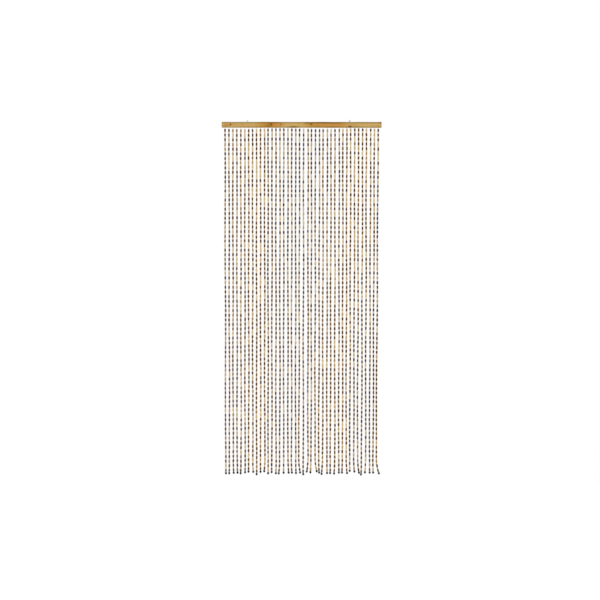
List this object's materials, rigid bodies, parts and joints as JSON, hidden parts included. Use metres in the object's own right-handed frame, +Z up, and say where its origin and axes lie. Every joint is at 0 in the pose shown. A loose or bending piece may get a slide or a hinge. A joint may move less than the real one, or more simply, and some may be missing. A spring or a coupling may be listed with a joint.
{
  "type": "bamboo door curtain",
  "caption": "Beaded door curtain: a flat wooden header bar with screw eyes carries one row of hanging strands of stained bamboo tubes and pale wooden beads, each ended by a dark ball.",
  "frame": {"origin": "middle of the header bar's top edge, where the wall or door frame holds the curtain", "axes": "+Z up along the hanging strands, +X along the bar to the right as seen from the front, the front faces -Y and the back of the bar faces +Y"},
  "size_m": [0.9, 0.012, 2.0132],
  "materials": {
    "bar_pine": "satin clear varnish over knotty pine",
    "eye_steel": "dull zinc plating",
    "stained_bamboo": "stained from espresso to tan, light gloss",
    "pale_bead_wood": "plain turned wood",
    "dark_ball_wood": "dark stain, light gloss",
    "thread": "twisted thread"
  },
  "bodies": {
    "root": {"header_bar": "bar_pine", "hanging_eye_left": "eye_steel", "hanging_eye_right": "eye_steel", "bead_strands": "stained_bamboo"}
  },
  "joints": []
}
